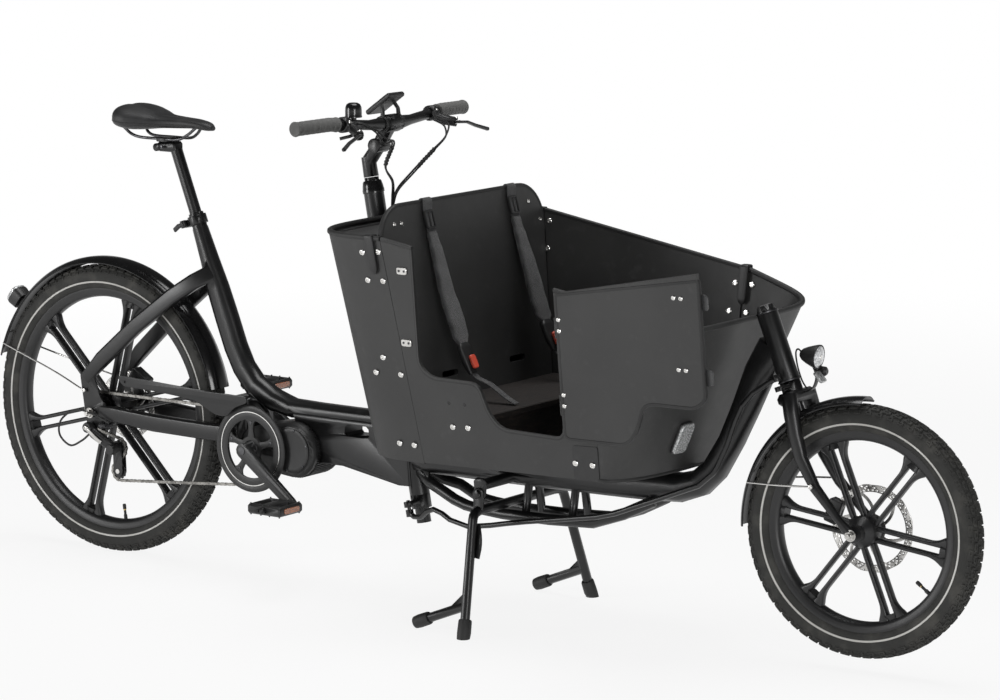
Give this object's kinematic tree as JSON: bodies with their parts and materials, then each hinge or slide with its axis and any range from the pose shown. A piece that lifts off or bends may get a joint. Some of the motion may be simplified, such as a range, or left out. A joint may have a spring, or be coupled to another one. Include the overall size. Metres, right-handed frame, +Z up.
{
  "type": "cargo bicycle",
  "caption": "Front-loading cargo bicycle with a low passenger box, side door, linkage steering, mid motor, chain drive and a fold-up centre stand.",
  "frame": {"origin": "on the ground, under the centre of the bounding box", "axes": "+X forward, towards the front wheel; +Y to the bike's left; +Z up"},
  "size_m": [2.5913, 0.6643, 1.1052],
  "materials": {
    "frame_paint": "satin black powder coat",
    "cast_alloy": "satin black cast alloy",
    "box_plastic": "fine matte texture",
    "black_plastic": "semi-gloss",
    "tyre_rubber": "moulded tread",
    "soft_rubber": "ribbed grip rubber",
    "steel": "brushed",
    "dark_steel": "dark plated",
    "bench_wood": "dark coated plywood",
    "webbing": "woven webbing",
    "red_button": "gloss red",
    "lamp_red": "red lens"
  },
  "bodies": {
    "frame": {"rear_frame": "frame_paint", "cargo_frame": "frame_paint", "motor_housing": "black_plastic", "chain_guard": "frame_paint", "rear_fender": "black_plastic", "tail_lamp": "lamp_red", "rear_caliper": "cast_alloy", "derailleur": "cast_alloy", "chain": "steel", "seat_clamp": "frame_paint", "box_rear_shell": "box_plastic", "box_side_left": "box_plastic", "box_side_right": "box_plastic", "box_front_shell": "box_plastic", "box_floor": "box_plastic", "box_lid": "box_plastic", "backrest": "box_plastic", "bench": "bench_wood", "harness_left": "webbing", "harness_right": "webbing"},
    "rear_wheel": {"rear_rim": "cast_alloy", "rear_tyre": "tyre_rubber", "rear_rotor": "steel"},
    "sprockets": {"cassette": "dark_steel"},
    "cranks": {"crank": "cast_alloy", "chainring": "dark_steel"},
    "right_pedal": {"pedal_right": "black_plastic"},
    "left_pedal": {"pedal_left": "black_plastic"},
    "upper_pulley": {"jockey_upper": "black_plastic"},
    "lower_pulley": {"jockey_lower": "black_plastic"},
    "seat": {"seatpost": "frame_paint", "saddle": "black_plastic"},
    "quick_lever": {"seat_lever": "cast_alloy"},
    "steering": {"steering_column": "frame_paint", "stem": "frame_paint", "handlebar": "frame_paint", "grip_left": "soft_rubber", "grip_right": "soft_rubber", "brake_mount_left": "cast_alloy", "brake_mount_right": "cast_alloy", "bell": "dark_steel", "control_cables": "black_plastic"},
    "left_brake": {"brake_lever_left": "cast_alloy"},
    "right_brake": {"brake_lever_right": "cast_alloy"},
    "shifter": {"shift_lever": "black_plastic"},
    "screen": {"display": "black_plastic"},
    "link": {"tie_rod": "frame_paint"},
    "front_fork": {"fork": "frame_paint", "front_fender": "black_plastic", "headlamp": "black_plastic", "front_caliper": "cast_alloy"},
    "front_wheel": {"front_rim": "cast_alloy", "front_tyre": "tyre_rubber", "front_rotor": "steel"},
    "side_door": {"door": "box_plastic"},
    "upper_latch": {"latch_upper": "black_plastic"},
    "lower_latch": {"latch_lower": "black_plastic"},
    "stand": {"center_stand": "frame_paint"},
    "left_button": {"buckle_button_left": "red_button"},
    "right_button": {"buckle_button_right": "red_button"}
  },
  "joints": [
    {"name": "rear_wheel_spin", "type": "hinge", "parent": "frame", "child": "rear_wheel", "pos_m": [-0.961, 0, 0.3345], "axis": [0, 1, 0], "continuous": true},
    {"name": "crank_spin", "type": "hinge", "parent": "frame", "child": "cranks", "pos_m": [-0.492, 0, 0.3], "axis": [0, 1, 0], "continuous": true},
    {"name": "sprocket_spin", "type": "hinge", "parent": "frame", "child": "sprockets", "pos_m": [-0.961, 0, 0.3345], "axis": [0, 1, 0], "continuous": true},
    {"name": "upper_pulley_spin", "type": "hinge", "parent": "frame", "child": "upper_pulley", "pos_m": [-0.9036, -0.0464, 0.2542], "axis": [0, 1, 0], "continuous": true},
    {"name": "lower_pulley_spin", "type": "hinge", "parent": "frame", "child": "lower_pulley", "pos_m": [-0.902, -0.0464, 0.2006], "axis": [0, 1, 0], "continuous": true},
    {"name": "right_pedal_spin", "type": "hinge", "parent": "cranks", "child": "right_pedal", "pos_m": [-0.35713, -0.0885, 0.19651], "axis": [0, 1, 0], "continuous": true},
    {"name": "left_pedal_spin", "type": "hinge", "parent": "cranks", "child": "left_pedal", "pos_m": [-0.62687, 0.0885, 0.40349], "axis": [0, 1, 0], "continuous": true},
    {"name": "steer", "type": "hinge", "parent": "frame", "child": "steering", "pos_m": [-0.1919, 0, 0.8891], "axis": [-0.1785, 0, 0.9839], "range_deg": [-39.83, 30.17]},
    {"name": "link_pivot", "type": "hinge", "parent": "steering", "child": "link", "pos_m": [-0.06301, -0.04982, 0.20207], "axis": [-0.1785, 0, 0.9839], "range_deg": [-31.17, 40.83]},
    {"name": "fork_steer", "type": "hinge", "parent": "frame", "child": "front_fork", "pos_m": [0.837, 0, 0.643], "axis": [-0.3746, 0, 0.9272], "range_deg": [-40.83, 31.17]},
    {"name": "front_wheel_spin", "type": "hinge", "parent": "front_fork", "child": "front_wheel", "pos_m": [1.03824, 0.0045, 0.28696], "axis": [-0.0781, 0.9964, -0.0315], "continuous": true},
    {"name": "left_brake_pull", "type": "hinge", "parent": "steering", "child": "left_brake", "pos_m": [-0.11625, 0.20103, 1.02544], "axis": [-0.1785, 0, 0.9839], "range_deg": [0, 20], "stiffness_Nm_per_rad": 1},
    {"name": "right_brake_pull", "type": "hinge", "parent": "steering", "child": "right_brake", "pos_m": [-0.08444, -0.18161, 1.03121], "axis": [0.1785, 0, -0.9839], "range_deg": [0, 20], "stiffness_Nm_per_rad": 1},
    {"name": "shift_push", "type": "hinge", "parent": "steering", "child": "shifter", "pos_m": [-0.1251, -0.14085, 1.02983], "axis": [-0.1785, 0, 0.9839], "range_deg": [0, 20], "stiffness_Nm_per_rad": 0.3},
    {"name": "screen_tilt", "type": "hinge", "parent": "steering", "child": "screen", "pos_m": [-0.14924, 0.00579, 1.03796], "axis": [-0.0828, 0.9964, -0.015], "range_deg": [-8, 10]},
    {"name": "seat_height", "type": "slide", "parent": "frame", "child": "seat", "axis": [-0.3584, 0, 0.9336], "range_m": [-0.09, 0.06]},
    {"name": "quick_lever_turn", "type": "hinge", "parent": "frame", "child": "quick_lever", "pos_m": [-0.71894, -0.0195, 0.78021], "axis": [-0.3584, 0, 0.9336], "range_deg": [0, 120]},
    {"name": "stand_fold", "type": "hinge", "parent": "frame", "child": "stand", "pos_m": [0.189, 0, 0.289], "axis": [0, 1, 0], "range_deg": [0, 62]},
    {"name": "door_swing", "type": "hinge", "parent": "frame", "child": "side_door", "pos_m": [0.4925, -0.27541, 0.6], "axis": [0, 0.1162, -0.9932], "range_deg": [0, 180]},
    {"name": "upper_latch_turn", "type": "hinge", "parent": "side_door", "child": "upper_latch", "pos_m": [0.82967, -0.301, 0.77], "axis": [0, -0.1162, 0.9932], "range_deg": [0, 90]},
    {"name": "lower_latch_turn", "type": "hinge", "parent": "side_door", "child": "lower_latch", "pos_m": [0.83222, -0.28345, 0.62], "axis": [0, -0.1162, 0.9932], "range_deg": [0, 90]},
    {"name": "left_button_press", "type": "slide", "parent": "frame", "child": "left_button", "axis": [-0.9063, 0, -0.4226], "range_m": [0, 0.0025], "stiffness_N_per_m": 400},
    {"name": "right_button_press", "type": "slide", "parent": "frame", "child": "right_button", "axis": [-0.9063, 0, -0.4226], "range_m": [0, 0.0025], "stiffness_N_per_m": 400}
  ],
  "couplings": [
    {"joint": "sprocket_spin", "follows": "crank_spin", "ratio": 1.8636},
    {"joint": "upper_pulley_spin", "follows": "crank_spin", "ratio": -3.7273},
    {"joint": "lower_pulley_spin", "follows": "crank_spin", "ratio": 3.7273},
    {"joint": "fork_steer", "follows": "steer", "ratio": 1},
    {"joint": "link_pivot", "follows": "steer", "ratio": -1}
  ]
}
